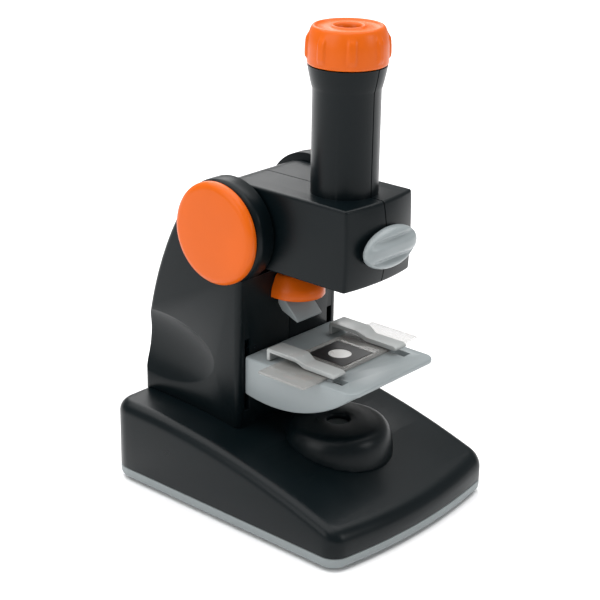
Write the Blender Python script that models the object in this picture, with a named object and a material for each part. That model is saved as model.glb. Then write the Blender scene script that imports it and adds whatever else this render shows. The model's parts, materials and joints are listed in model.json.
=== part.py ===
"""Kids microscope: a standing toy microscope as separate moulded and turned pieces.

Lengths in the constants and helper calls are millimetres; MM turns them into metres.
+Z is up, the stage side faces -Y and the origin is the middle of the footprint.
"""
import math

import bmesh
import bpy
from mathutils import Matrix, Vector

MM = 0.001
GAP = 0.3                    # clearance between touching pieces
WALL = 2.2                   # wall of the black shells

# Base
BASE_HALF_WIDTH = 51.6
BASE_FRONT_Y = -67.5
BASE_REAR_Y = 67.5
BASE_FRONT_ARC = 253.0       # radius of the bowed front
FRONT_CORNER = 8.0
REAR_CORNER = 10.0
BASE_EDGE_ROUND = 5.5
BASE_PEAK_Y = 54.5
BASE_PEAK_Z = 37.3
BASE_CURVE = 0.001486        # fall of the wedge top, per mm squared from the peak
TRAY_BOTTOM_Z = 1.0
TRAY_FLOOR_Z = 4.0
TRAY_TOP_Z = 5.8
SHELL_BOTTOM_Z = TRAY_TOP_Z + GAP

# Optical axis and the lamp dome under it
OPTIC_Y = -20.5
DOME_RADIUS = 24.0
DOME_TOP_Z = 37.9
DOME_HOLE = 6.2

# Pillar
PILLAR_HALF = 32.0
PILLAR_FRONT_Y = 8.3
PILLAR_REAR_Y = 66.0
PILLAR_BEND_Z = 43.0         # the back is upright below this height
PILLAR_EDGE_ROUND = 2.8
FOCUS_Y = 19.4               # focus shaft
FOCUS_Z = 120.8
EAR_RADIUS = 22.5
EAR_INNER_X = 23.2
POCKET_FLOOR_Z = 90.0        # lower end of the hollow in each ear
SADDLE_RADIUS = 21.0
SADDLE_REAR_Z = 116.0
SLOT_X = (25.1, 28.1)
SLOT_Z = (42.0, 74.6)

# Head and tube
HEAD_HALF = 21.2
HEAD_FRONT_Y = -38.9
HEAD_TOP_Z = 140.3
HEAD_BOTTOM_Z = 105.6
KNUCKLE_RADIUS = 19.5
TUBE_RADIUS = 13.9
TUBE_BORE = 11.7
FLARE_Z = 183.0
TUBE_TOP_Z = 192.6
FLARE_RADIUS = 16.1
NECK_RADIUS = 13.1
NECK_TOP_Z = 198.8

# Focus mechanism
KNOB_RADIUS = 22.0
KNOB_FACE_X = 36.8
SHAFT_RADIUS = 2.0
RUNNING_FIT = 0.09           # radial clearance of the shaft in its bushes
PITCH_RADIUS = 4.8
PINION_TEETH = 12

# Stage
STAGE_HALF = 27.9
STAGE_FRONT_Y = -50.5
STAGE_REAR_Y = 8.0
STAGE_TOP_Z = 67.1
STAGE_PLATE = 2.2
BELLY_RADIUS = 65.4
BELLY_Y = -6.0
BELLY_Z = 113.8
SLIDE_SIZE = (75.0, 25.0, 1.1)
MASK_HALF = 9.7
MASK_WINDOW = 5.0
CLIP_X = 20.2                # middle of each clip
CLIP_REAR_HALF = 4.8
CLIP_TIP_HALF = 3.7

# Objective selector
DRUM_Z = 122.1
DRUM_RADIUS = 13.6
DRUM_Y = (-34.0, -7.5)


# ---------------------------------------------------------------- helpers

def clear_scene():
    for obj in list(bpy.data.objects):
        bpy.data.objects.remove(obj, do_unlink=True)


def make_material(name, colour, roughness, metallic=0.0, transmission=0.0):
    mat = bpy.data.materials.new(name)
    mat.use_nodes = True
    shader = mat.node_tree.nodes["Principled BSDF"]
    shader.inputs["Base Color"].default_value = (*colour, 1.0)
    shader.inputs["Roughness"].default_value = roughness
    shader.inputs["Metallic"].default_value = metallic
    shader.inputs["Transmission Weight"].default_value = transmission
    return mat


def finish_object(name, bm, mat, origin=(0, 0, 0), smooth=30):
    """Turn a bmesh in millimetres into an object whose origin is at origin (millimetres)."""
    bmesh.ops.recalc_face_normals(bm, faces=bm.faces)
    bmesh.ops.translate(bm, vec=-Vector(origin), verts=bm.verts)
    bmesh.ops.scale(bm, vec=(MM, MM, MM), verts=bm.verts)
    mesh = bpy.data.meshes.new(name)
    bm.to_mesh(mesh)
    bm.free()
    mesh.shade_smooth()
    mesh.set_sharp_from_angle(angle=math.radians(smooth))
    if mat:
        mesh.materials.append(mat)
    obj = bpy.data.objects.new(name, mesh)
    obj.location = Vector(origin) * MM
    bpy.context.scene.collection.objects.link(obj)
    return obj


def loft(name, rings, mat, closed=False, origin=(0, 0, 0), smooth=30):
    """Skin a list of equal rings; an open loft gets a face at each end."""
    bm = bmesh.new()
    loops = [[bm.verts.new(point) for point in ring] for ring in rings]
    pairs = list(zip(loops, loops[1:]))
    if closed:
        pairs.append((loops[-1], loops[0]))
    for lower, upper in pairs:
        count = len(lower)
        for i in range(count):
            j = (i + 1) % count
            bm.faces.new((lower[i], lower[j], upper[j], upper[i]))
    if not closed:
        bm.faces.new(loops[0])
        bm.faces.new(loops[-1])
    return finish_object(name, bm, mat, origin, smooth)


def prism(name, outline, low, high, mat, axis="Z", origin=(0, 0, 0)):
    """Extrude a 2-D outline from low to high along an axis."""
    def place(point, level):
        u, v = point
        return {"X": (level, u, v), "Y": (u, level, v), "Z": (u, v, level)}[axis]
    rings = [[place(point, level) for point in outline] for level in (low, high)]
    return loft(name, rings, mat, origin=origin)


def box(name, low, high, mat=None, origin=(0, 0, 0)):
    outline = [(low[0], low[1]), (high[0], low[1]), (high[0], high[1]), (low[0], high[1])]
    return prism(name, outline, low[2], high[2], mat, "Z", origin)


def turned(name, profile, centre, mat, axis="Z", segments=32, origin=(0, 0, 0), phase=0.0):
    """Revolve (radius, level) points about an axis; the profile is a closed loop or ends on the axis."""
    on_axis = profile[0][0] == 0 and profile[-1][0] == 0
    bm = bmesh.new()
    columns = []
    poles = {}
    for s in range(segments):
        angle = 2 * math.pi * (s + phase) / segments
        column = []
        for index, (radius, level) in enumerate(profile):
            if radius == 0:
                if index not in poles:
                    poles[index] = bm.verts.new(turn_point(centre, 0, 0, level, axis))
                column.append(poles[index])
                continue
            offset = (radius * math.cos(angle), radius * math.sin(angle))
            column.append(bm.verts.new(turn_point(centre, *offset, level, axis)))
        columns.append(column)
    steps = len(profile) - 1 if on_axis else len(profile)
    for s in range(segments):
        left, right = columns[s], columns[(s + 1) % segments]
        for k in range(steps):
            m = (k + 1) % len(profile)
            corners = [left[k], right[k], right[m], left[m]]
            unique = list(dict.fromkeys(corners))
            bm.faces.new(unique)
    return finish_object(name, bm, mat, origin)


def turn_point(centre, u, v, level, axis):
    """A point at level along the axis, offset (u, v) from the centre line."""
    if axis == "X":
        return (level, centre[0] + u, centre[1] + v)
    if axis == "Y":
        return (centre[0] + u, level, centre[1] + v)
    return (centre[0] + u, centre[1] + v, level)


def rod(name, centre, radius, low, high, mat=None, axis="Z", segments=20, origin=(0, 0, 0), phase=0.0):
    profile = [(0, low), (radius, low), (radius, high), (0, high)]
    return turned(name, profile, centre, mat, axis, segments, origin, phase)


def apply_tool(target, tool, operation):
    mod = target.modifiers.new(tool.name, "BOOLEAN")
    mod.operation = operation
    mod.solver = "EXACT"
    mod.object = tool
    tool.hide_render = True
    tool.display_type = "WIRE"


def cut(target, *tools):
    for tool in tools:
        apply_tool(target, tool, "DIFFERENCE")


def join(target, *tools):
    for tool in tools:
        apply_tool(target, tool, "UNION")


def arc(centre, radius, start, end, steps):
    """Points on a circle between two angles in degrees, both ends included."""
    points = []
    for k in range(steps + 1):
        angle = math.radians(start + (end - start) * k / steps)
        points.append((centre[0] + radius * math.cos(angle), centre[1] + radius * math.sin(angle)))
    return points


# ---------------------------------------------------------------- base shapes

def base_half_outline(inset):
    """Right half of the footprint, from the middle of the front round to the straight back."""
    half = BASE_HALF_WIDTH
    front_y = BASE_FRONT_Y + BASE_FRONT_ARC
    corner_x = half - FRONT_CORNER
    reach = BASE_FRONT_ARC - FRONT_CORNER
    corner_y = front_y - math.sqrt(reach ** 2 - corner_x ** 2)
    lean = math.degrees(math.asin(corner_x / reach))
    front = arc((0, front_y), BASE_FRONT_ARC - inset, -90, -90 + lean, 4)[:-1]
    corner = arc((corner_x, corner_y), FRONT_CORNER - inset, -90 + lean, 0, 3)
    rear_centre = (half - REAR_CORNER, BASE_REAR_Y - REAR_CORNER)
    side = [(half - inset, corner_y + (rear_centre[1] - corner_y) * k / 6) for k in range(1, 6)]
    rear = arc(rear_centre, REAR_CORNER - inset, 0, 90, 3)
    return front + corner + side + rear


def base_ring(inset, height):
    """A full closed ring of the footprint; height is a number or a function of y."""
    half = base_half_outline(inset)
    points = half + [(-x, y) for x, y in reversed(half[1:])]
    return [(x, y, height(y) if callable(height) else height) for x, y in points]


def base_top(y):
    return BASE_PEAK_Z - BASE_CURVE * (y - BASE_PEAK_Y) ** 2


def base_surface(y):
    """Height of the base's upper face along its middle, with the rear edge rounding."""
    start = BASE_REAR_Y - BASE_EDGE_ROUND
    if y <= start:
        return base_top(y)
    along = (y - start) / BASE_EDGE_ROUND
    return base_top(y) - BASE_EDGE_ROUND * (1 - math.sqrt(1 - along ** 2))


def wedge_rings(inset, bottom, lift):
    """Rings of the wedge from its lower rim over the rounded edge to the top face."""
    radius = BASE_EDGE_ROUND - inset
    rings = [base_ring(inset, bottom)]
    for k in range(5):
        angle = math.pi / 2 * k / 4
        step = inset + radius * (1 - math.cos(angle))
        drop = inset + radius * (1 - math.sin(angle))
        rings.append(base_ring(step, lambda y, drop=drop: base_top(y) - drop + lift))
    return rings


def roof_faces(bm, ring):
    """Close a ring that mirrors left to right with strips that run straight across."""
    count = len(ring)
    shift = 0 if abs(ring[0].co.x) < 1e-6 else 1
    for i in range(count // 2):
        a, b = ring[i], ring[i + 1]
        c, d = ring[(count - shift - i - 1) % count], ring[(count - shift - i) % count]
        corners = list(dict.fromkeys((a, b, c, d)))
        if len(corners) > 2:
            bm.faces.new(corners)


def skin(bm, lower, upper):
    count = len(lower)
    for i in range(count):
        j = (i + 1) % count
        bm.faces.new((lower[i], lower[j], upper[j], upper[i]))


def wedge_solid(name, bottom, lift):
    """The filled wedge, used to trim what stands on the base."""
    bm = bmesh.new()
    loops = [[bm.verts.new(p) for p in ring] for ring in wedge_rings(0, bottom, lift)]
    for lower, upper in zip(loops, loops[1:]):
        skin(bm, lower, upper)
    roof_faces(bm, loops[-1])
    bm.faces.new(loops[0])
    return finish_object(name, bm, None)


def make_base_shell(mat):
    bm = bmesh.new()
    outer = [[bm.verts.new(p) for p in ring] for ring in wedge_rings(0, SHELL_BOTTOM_Z, 0)]
    inner = [[bm.verts.new(p) for p in ring] for ring in wedge_rings(WALL, SHELL_BOTTOM_Z, 0)]
    for loops in (outer, inner):
        for lower, upper in zip(loops, loops[1:]):
            skin(bm, lower, upper)
        roof_faces(bm, loops[-1])
    skin(bm, outer[0], inner[0])
    shell = finish_object("base_shell", bm, mat)
    for index, (x, y) in enumerate(BASE_SCREWS):
        top = base_top(y) - 1.0
        join(shell, rod(f"post_{index}", (x, y), 3.8, TRAY_FLOOR_Z + 0.4, top, segments=12))
    for index, (x, y) in enumerate(BASE_SCREWS):
        cut(shell, rod(f"post_hole_{index}", (x, y), 1.7, 0, 16.0, segments=9, phase=0.5))
    cut(shell, rod("dome_opening", (0, OPTIC_Y), 10.5, 10, 60, segments=20))
    cut(shell, box("wire_opening", (-12, 24, 20), (12, 44, 60)))
    for index, (x, y) in enumerate(PILLAR_FOOT_SCREWS):
        cut(shell, rod(f"foot_hole_{index}", (x, y), 1.8, 25, 60, segments=9, phase=0.5))
    cut(shell, box("switch_recess", (50.2, -8, 9.5), (55, 8, 16.5)))
    cut(shell, box("switch_slot", (45, -5, 11.2), (55, 5, 14.8)))
    return shell


BASE_SCREWS = [(-41, -50), (41, -50), (-41, 50), (41, 50)]
PILLAR_FOOT_SCREWS = [(-20.5, 52), (20.5, 52)]
FEET = [(-38, -36), (38, -36), (-38, 36), (38, 36)]
DOOR_SCREW = (0, 61)


def make_base_tray(mat):
    """Shallow tray: rounded lower edge, floor, locating lip inside the shell and a battery well."""
    rings = [
        base_ring(1.9, TRAY_BOTTOM_Z),
        base_ring(0.6, TRAY_BOTTOM_Z + 1.0),
        base_ring(0.0, TRAY_BOTTOM_Z + 2.2),
        base_ring(0.0, TRAY_TOP_Z),
        base_ring(WALL + GAP, TRAY_TOP_Z),
        base_ring(WALL + GAP, TRAY_TOP_Z + 2.2),
        base_ring(WALL + GAP + 1.4, TRAY_TOP_Z + 2.2),
        base_ring(WALL + GAP + 1.4, TRAY_FLOOR_Z),
    ]
    bm = bmesh.new()
    loops = [[bm.verts.new(p) for p in ring] for ring in rings]
    for lower, upper in zip(loops, loops[1:]):
        skin(bm, lower, upper)
    bm.faces.new(loops[0])
    bm.faces.new(loops[-1])
    tray = finish_object("base_tray", bm, mat)
    join(tray, box("well_wall", (-18.5, 1.4, 3.0), (18.5, 59.6, 17.0)))
    join(tray, rod("door_screw_boss", DOOR_SCREW, 3.2, 3.5, 9.5, segments=10))
    cut(tray, box("well", (-16.3, 3.6, 1.5), (16.3, 57.4, 20)))
    cut(tray, box("door_opening", (-18.2, 1.2, 0), (18.2, 64.3, 2.8)))
    cut(tray, rod("door_screw_hole", DOOR_SCREW, 1.6, 0, 8.6, segments=9))
    for index, (x, y) in enumerate(BASE_SCREWS):
        cut(tray, rod(f"tray_hole_{index}", (x, y), 1.7, -1, 10, segments=9, phase=0.5))
        cut(tray, rod(f"tray_sink_{index}", (x, y), 3.1, -1, 2.9, segments=12))
    for index, (x, y) in enumerate(FEET):
        cut(tray, rod(f"foot_recess_{index}", (x, y), 5.3, -1, 2.3, segments=16))
    return tray


def make_screw(name, mat, head, tip, head_radius, shank_radius, centre, axis="Z"):
    """Pan-head screw; head and tip are the outer levels along the axis."""
    way = 1 if tip > head else -1
    seat = head + 1.6 * way
    profile = [(0, head), (head_radius, head + 0.3 * way), (head_radius, seat), (shank_radius, seat),
               (shank_radius, tip - 1.0 * way), (0, tip)]
    return turned(name, profile, centre, mat, axis, 9)


def make_base_hardware(mats):
    for index, (x, y) in enumerate(BASE_SCREWS):
        make_screw(f"base_screw_{index + 1}", mats["steel"], 1.3, 14.0, 2.7, 1.3, (x, y))
    for index, (x, y) in enumerate(FEET):
        profile = [(0, 0), (4.4, 0), (5.0, 0.6), (5.0, 2.0), (0, 2.0)]
        turned(f"foot_{index + 1}", profile, (x, y), mats["rubber"], segments=16)
    door = box("battery_door", (-17.9, 1.5, TRAY_BOTTOM_Z), (17.9, 64.0, 2.5), mats["tray"])
    cut(door, rod("door_hole", DOOR_SCREW, 1.6, 0, 5, segments=12))
    cut(door, rod("door_sink", DOOR_SCREW, 2.9, 0, 2.0, segments=16))
    door_screw = [(0, 1.1), (2.5, 1.1), (2.5, 1.7), (1.25, 1.7), (1.25, 7.2), (0, 8.0)]
    turned("battery_door_screw", door_screw, DOOR_SCREW, mats["steel"], segments=9)
    for index, x in enumerate((-7.9, 7.9)):
        way = 1 if index == 0 else -1
        mid = 30.5
        cell = [(0, mid - 24.6 * way), (6.6, mid - 24.6 * way), (7.1, mid - 24.1 * way),
                (7.1, mid + 23.2 * way), (6.6, mid + 23.7 * way), (2.7, mid + 23.7 * way),
                (2.7, mid + 24.7 * way), (0, mid + 24.7 * way)]
        turned(f"battery_cell_{index + 1}", cell, (x, 12.2), mats["cell"], "Y", 14)
    box("battery_contact_front", (-14.5, 4.0, 6.0), (14.5, 4.6, 17.5), mats["contact"])
    box("battery_contact_rear", (-14.5, 56.4, 6.0), (14.5, 57.0, 17.5), mats["contact"])


def make_lamp(mats):
    """Lamp under the stage: dome, diffuser, light tube, board and diode."""
    rise = [(DOME_RADIUS - 5.4 * k / 4 * (0.25 + 0.75 * k / 4), 22.5 + 14.6 * math.sin(math.pi / 2 * k / 4))
            for k in range(5)]
    outer = [(DOME_RADIUS, 12.0)] + rise + [(17.9, DOME_TOP_Z)]
    hole = [(DOME_HOLE + 0.9, DOME_TOP_Z), (DOME_HOLE, DOME_TOP_Z - 0.8), (DOME_HOLE, 35.7)]
    inner = [(15.5, 35.7), (19.6, 32.0), (21.3, 26.0), (DOME_RADIUS - WALL, 12.0)]
    dome = turned("lamp_dome", outer + hole + inner, (0, OPTIC_Y), mats["black"], segments=32)
    cut(dome, wedge_solid("base_volume", 2.0, GAP))
    turned("lamp_diffuser", [(0, 33.0), (8.6, 33.0), (8.6, 34.6), (7.6, 35.3), (0, 35.3)],
           (0, OPTIC_Y), mats["lens"], segments=24)
    tube = [(9.0, TRAY_FLOOR_Z + GAP), (9.0, 32.7), (7.8, 32.7), (7.8, 20.0), (5.5, 20.0),
            (5.5, TRAY_FLOOR_Z + GAP)]
    turned("light_tube", tube, (0, OPTIC_Y), mats["black"], segments=18)
    turned("lamp_board", [(0, 20.3), (7.4, 20.3), (7.4, 21.5), (0, 21.5)], (0, OPTIC_Y), mats["board"],
           segments=16)
    led = [(0, 21.8), (2.9, 21.8), (2.9, 22.8), (2.5, 22.8), (2.5, 27.5), (1.8, 29.2), (0, 30.0)]
    turned("lamp_led", led, (0, OPTIC_Y), mats["led"], segments=12)
    tee = [(47.2, -7), (49.0, -7), (49.0, -2.3), (51.5, -2.3), (51.5, 2.3), (49.0, 2.3), (49.0, 7), (47.2, 7)]
    prism("lamp_switch", tee, 11.5, 14.5, mats["grey"])


# ---------------------------------------------------------------- pillar

def pillar_outline(inset):
    """Side profile (y, z): front wall, ear round the focus shaft, bowed back, foot on the base."""
    ear = EAR_RADIUS - inset
    front = PILLAR_FRONT_Y + inset
    rear = PILLAR_REAR_Y - inset
    drop = FOCUS_Z - PILLAR_BEND_Z
    reach = PILLAR_REAR_Y - FOCUS_Y
    # back arc: upright at the bend, touching the ear circle from outside
    back = (reach ** 2 + drop ** 2 - EAR_RADIUS ** 2) / (2 * (reach - EAR_RADIUS))
    centre = (PILLAR_REAR_Y - back, PILLAR_BEND_Z)
    touch = math.degrees(math.atan2(drop, FOCUS_Y - centre[0]))
    begin = 360 - math.degrees(math.acos((front - FOCUS_Y) / ear))
    ear_points = arc((FOCUS_Y, FOCUS_Z), ear, begin, touch, 14)
    back_points = arc(centre, back - inset, touch, 0, 6)[1:] + [(rear, base_surface(rear) + GAP)]
    foot = [(rear - step, base_surface(rear - step) + GAP) for step in FOOT_STEPS]
    foot.append((front, base_surface(front) + GAP))
    return ear_points + back_points + foot


FOOT_STEPS = (0.6, 1.6, 3.0, 5.0, 12.0, 22.0, 34.0, 46.0)      # distances in from the pillar's back


def saddle_outline(radius, floor_z, rear_z, lift):
    """Space between the ears, where the head's round end sits."""
    start = -math.degrees(math.acos((rear_z - FOCUS_Z) / radius)) + 90
    low = math.degrees(math.asin((floor_z - FOCUS_Z) / radius))
    points = arc((FOCUS_Y, FOCUS_Z), radius, -180 - low, start, 10)
    return points + [(80, rear_z), (80, lift), (-20, lift), (-20, floor_z)]


def cavity_outline():
    """Hollow of the pillar below the saddle, in the side profile."""
    rim = SADDLE_RADIUS + WALL
    front = PILLAR_FRONT_Y + WALL
    rear = PILLAR_REAR_Y - WALL - 0.8
    start = 180 + math.degrees(math.acos((FOCUS_Y - front) / rim))
    points = arc((FOCUS_Y, FOCUS_Z), rim, start, 318, 5)
    points += [(48.0, 101.0), (54.0, 88.0), (59.0, 72.0), (rear, 50.0), (rear, 20.0), (front, 20.0)]
    return points


def squeeze(outline, limit):
    """Press the cavity towards its front wall so that it ends at limit and below the ear."""
    front = PILLAR_FRONT_Y + WALL
    rear = max(y for y, z in outline)
    scale = (limit - front) / (rear - front)
    return [(front + (y - front) * scale, min(z, POCKET_FLOOR_Z + 3.0)) for y, z in outline]


PILLAR_SCREWS = [(57.0, 60.0), (24.0, 52.0), (46.0, 94.0)]


def make_pillar_half(side, mats):
    """side is +1 for the right half and -1 for the left half."""
    tag = "right" if side > 0 else "left"
    radius = PILLAR_EDGE_ROUND
    stations = [(GAP / 2, 0.0), (PILLAR_HALF - radius, 0.0)]
    for k in range(1, 4):
        angle = math.pi / 2 * k / 3
        stations.append((PILLAR_HALF - radius * (1 - math.sin(angle)), radius * (1 - math.cos(angle))))
    rings = [[(side * x, y, z) for y, z in pillar_outline(inset)] for x, inset in stations]
    half = loft(f"pillar_{tag}", rings, mats["black"])
    saddle = saddle_outline(SADDLE_RADIUS, 102.4, SADDLE_REAR_Z, 160)
    cut(half, prism(f"saddle_{tag}", saddle, -EAR_INNER_X, EAR_INNER_X, None, "X"))
    wide, narrow = PILLAR_HALF - WALL, 24.8
    full = cavity_outline()
    slim = squeeze(full, 21.0)
    cavity_rings = [[(side * x, y, z) for y, z in outline]
                    for x, outline in ((-1, full), (narrow, full), (narrow + 1.0, slim), (wide, slim))]
    cut(half, loft(f"cavity_{tag}", cavity_rings, None))
    pocket = arc((FOCUS_Y, FOCUS_Z), EAR_RADIUS - WALL, -20, 246, 10)
    pocket += [(11.4, POCKET_FLOOR_Z), (27.4, POCKET_FLOOR_Z)]
    low, high = sorted((side * (EAR_INNER_X + WALL), side * (wide - 0.2)))
    cut(half, prism(f"ear_pocket_{tag}", pocket, low, high, None, "X"))
    low, high = sorted((side * SLOT_X[0], side * SLOT_X[1]))
    cut(half, box(f"stage_slot_{tag}", (low, 0, SLOT_Z[0]), (high, 12, SLOT_Z[1])))
    low, high = sorted((-side, side * 4.6))
    cut(half, box(f"rack_slot_{tag}", (low, 10.8, 90), (high, 15.9, 106)))
    cut(half, scoop(f"scoop_{tag}", side))
    screws = [rod(f"boss_{tag}_{k}", at, 3.4, GAP / 2, 27.0, None, "X", 10) if side > 0 else
              rod(f"boss_{tag}_{k}", at, 3.4, -27.0, -GAP / 2, None, "X", 10)
              for k, at in enumerate(PILLAR_SCREWS)]
    join(half, *screws)
    for k, at in enumerate(PILLAR_SCREWS):
        reach = (-5, 45) if side > 0 else (-11.0, 5)
        cut(half, rod(f"screw_way_{tag}_{k}", at, 1.7, *reach, None, "X", 9, phase=0.5))
        if side > 0:
            cut(half, rod(f"screw_sink_{k}", at, 3.2, 24.0, 45, None, "X", 10))
    x, y = PILLAR_FOOT_SCREWS[0 if side < 0 else 1]
    foot_z = base_surface(y) + GAP
    join(half, rod(f"foot_boss_{tag}", (x, y), 5.4, foot_z + 0.02, 50.0, segments=16))
    cut(half, rod(f"foot_boss_hole_{tag}", (x, y), 1.7, 30, 46.5, segments=9, phase=0.5))
    cut(half, rod(f"shaft_way_{tag}", (FOCUS_Y, FOCUS_Z), SHAFT_RADIUS + GAP, -45, 45, None, "X", 14))
    return half


def scoop(name, side):
    """Ellipsoid that leaves the finger hollow in the side of the pillar."""
    bm = bmesh.new()
    bmesh.ops.create_uvsphere(bm, u_segments=24, v_segments=12, radius=1.0)
    bmesh.ops.rotate(bm, matrix=Matrix.Rotation(math.pi / 2, 3, "Y"), verts=bm.verts)
    bmesh.ops.scale(bm, vec=(12.5, 45.0, 21.4), verts=bm.verts)
    bmesh.ops.translate(bm, vec=(side * (PILLAR_HALF + 8.5), 55.1, 60.5), verts=bm.verts)
    return finish_object(name, bm, None)


def make_pillar(mats):
    for side in (-1, 1):
        make_pillar_half(side, mats)
    for k, at in enumerate(PILLAR_SCREWS):
        make_screw(f"pillar_screw_{k + 1}", mats["steel"], 26.0, -9.0, 2.8, 1.3, at, "X")
    for k, (x, y) in enumerate(PILLAR_FOOT_SCREWS):
        make_screw(f"pillar_foot_screw_{k + 1}", mats["steel"], 32.6, 45.0, 2.8, 1.3, (x, y))


# ---------------------------------------------------------------- head

def head_outline(x, inset):
    """Side profile (y, z) of the head at distance x from its middle plane."""
    front = HEAD_FRONT_Y
    top, bottom = HEAD_TOP_Z - inset, HEAD_BOTTOM_Z + inset
    across = 1 - (x / HEAD_HALF) ** 2
    mid = (top + bottom) / 2
    points = []
    for k in range(7):
        z = bottom + (top - bottom) * k / 6
        upright = 1 - ((z - mid) / ((top - bottom) / 2)) ** 2
        bulge = 2.1 * across + upright * (0.5 + 1.6 * across)
        points.append((front - bulge + inset, z))
    radius = KNUCKLE_RADIUS - inset
    low = -math.degrees(math.acos((bottom - FOCUS_Z) / radius)) + 90
    points += arc((FOCUS_Y, FOCUS_Z), radius, 90, -180 - low, 14)
    return points


def head_rings(inset, half, side, start):
    """Rings from the seam plane to the side wall, with a small rounding at the wall."""
    edge = 1.2 if inset == 0 else 0.4
    stations = [start, -10.0, -3.1, 3.1, 8.6, 14.4, half - edge]
    rings = [[(side * x, y, z) for y, z in head_outline(x, inset)] for x in stations]
    middle_y, middle_z = -5.0, (HEAD_TOP_Z + HEAD_BOTTOM_Z) / 2
    last = []
    for y, z in head_outline(half, inset):
        shrink_y = edge * (1 if y > middle_y else -1) * 0.6
        shrink_z = edge * max(-1.0, min(1.0, (z - middle_z) / 14)) * 0.6
        last.append((side * half, y - shrink_y, z - shrink_z))
    return rings + [last]


HEAD_SCREWS = [(1.5, 133.0), (0.5, 111.5), (31.0, FOCUS_Z)]


def make_head_half(side, mats):
    tag = "right" if side > 0 else "left"
    half = loft(f"head_{tag}", head_rings(0, HEAD_HALF, side, -18.0), mats["black"])
    tube_profile = [(0, HEAD_TOP_Z - 1.5), (TUBE_RADIUS, HEAD_TOP_Z - 1.5), (TUBE_RADIUS, FLARE_Z)]
    for k in range(1, 4):
        t = k / 3
        tube_profile.append((TUBE_RADIUS + (FLARE_RADIUS - TUBE_RADIUS) * t ** 0.8,
                             FLARE_Z + (TUBE_TOP_Z - FLARE_Z) * t))
    tube_profile += [(NECK_RADIUS, TUBE_TOP_Z), (NECK_RADIUS, NECK_TOP_Z), (0, NECK_TOP_Z)]
    join(half, turned(f"tube_{tag}", tube_profile, (0, OPTIC_Y), None, segments=36))
    cut(half, loft(f"head_cavity_{tag}", head_rings(WALL, HEAD_HALF - WALL, side, -19.0), None))
    cut(half, rod(f"tube_way_{tag}", (0, OPTIC_Y), TUBE_BORE, 130, 210, segments=28, phase=0.5))
    bosses = []
    for k, at in enumerate(HEAD_SCREWS):
        low, high = sorted((-16.0 * side, side * (HEAD_HALF - 1.0)))
        bosses.append(rod(f"head_boss_{tag}_{k}", at, 3.2, low, high, None, "X", 10))
    low, high = sorted((side * 17.0, side * 22.9))
    bosses.append(rod(f"head_hub_{tag}", (FOCUS_Y, FOCUS_Z), 5.5, low, high, None, "X", 16))
    join(half, *bosses)
    for k, at in enumerate(HEAD_SCREWS):
        reach = (-5, 45) if side > 0 else (-10.5, 5)
        cut(half, rod(f"head_way_{tag}_{k}", at, 1.6, *reach, None, "X", 9, phase=0.5))
        if side > 0:
            cut(half, rod(f"head_sink_{k}", at, 3.0, 18.6, 30, None, "X", 10))
    shaft_way = rod(f"head_shaft_way_{tag}", (FOCUS_Y, FOCUS_Z), SHAFT_RADIUS + GAP, -45, 45, None, "X", 14,
                    phase=0.5)
    cut(half, shaft_way)
    cut(half, rod(f"selector_way_{tag}", (0, DRUM_Z), 4.3, -60, -36, None, "Y", 14))
    cut(half, rod(f"window_way_{tag}", (0, OPTIC_Y), 7.0, 100, 112, segments=18, phase=0.5))
    cut(half, box(f"head_rack_way_{tag}", (-4.6, 10.8, 96), (4.6, 15.9, 109)))
    reach = (-60, GAP / 2) if side > 0 else (-GAP / 2, 60)
    cut(half, box(f"seam_{tag}", (reach[0], -60, 90), (reach[1], 60, 220)))
    return half


def make_head(mats):
    for side in (-1, 1):
        make_head_half(side, mats)
    for k, at in enumerate(HEAD_SCREWS):
        make_screw(f"head_screw_{k + 1}", mats["steel"], 20.5, -8.5, 2.6, 1.2, at, "X")
    turned("objective_window", [(0, 106.0), (6.7, 106.0), (6.7, 107.4), (0, 107.4)], (0, OPTIC_Y),
           mats["lens"], segments=24)


def make_eyepiece(mats):
    """Orange turning cap with eight grip ribs, its lens, and the lens barrel that it drives."""
    levels = [(TUBE_TOP_Z + GAP, 15.8, 0), (193.7, 16.3, 0), (195.2, 16.35, 0), (196.0, 16.4, 0.7),
              (200.0, 16.4, 0.75), (203.2, 15.8, 0.7), (205.8, 14.8, 0.2), (208.2, 13.4, 0),
              (207.5, 12.2, 0), (207.5, 8.0, 0), (206.4, 5.9, 0),
              (203.2, 5.7, 0), (203.2, 9.3, 0), (199.5, 9.3, 0), (199.5, NECK_RADIUS + GAP, 0),
              (TUBE_TOP_Z + GAP, NECK_RADIUS + GAP, 0)]
    segments = 48
    rings = []
    for z, radius, rib in levels:
        ring = []
        for s in range(segments):
            angle = 2 * math.pi * s / segments
            offset = (s % 6) if (s % 6) <= 3 else 6 - (s % 6)
            r = radius + (rib if offset <= 1 else 0)
            ring.append((r * math.cos(angle), OPTIC_Y + r * math.sin(angle), z))
        rings.append(ring)
    loft("eyepiece_cap", rings, mats["orange"], closed=True, origin=(0, OPTIC_Y, TUBE_TOP_Z), smooth=40)
    eye = [(0, 200.0), (6.0, 200.2), (9.0, 200.9), (9.0, 202.0), (6.0, 202.7), (0, 202.9)]
    turned("eye_lens", eye, (0, OPTIC_Y), mats["lens"], segments=18)
    barrel = [(11.3, 165), (11.3, 190), (9.8, 190), (9.8, 169), (8.4, 169), (8.4, 165)]
    turned("lens_barrel", barrel, (0, OPTIC_Y), mats["black"], segments=18)
    field = [(0, 169.3), (9.4, 169.9), (9.4, 171.0), (5.0, 171.9), (0, 172.2)]
    turned("field_lens", field, (0, OPTIC_Y), mats["lens"], segments=18)


# ---------------------------------------------------------------- objective selector

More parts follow.
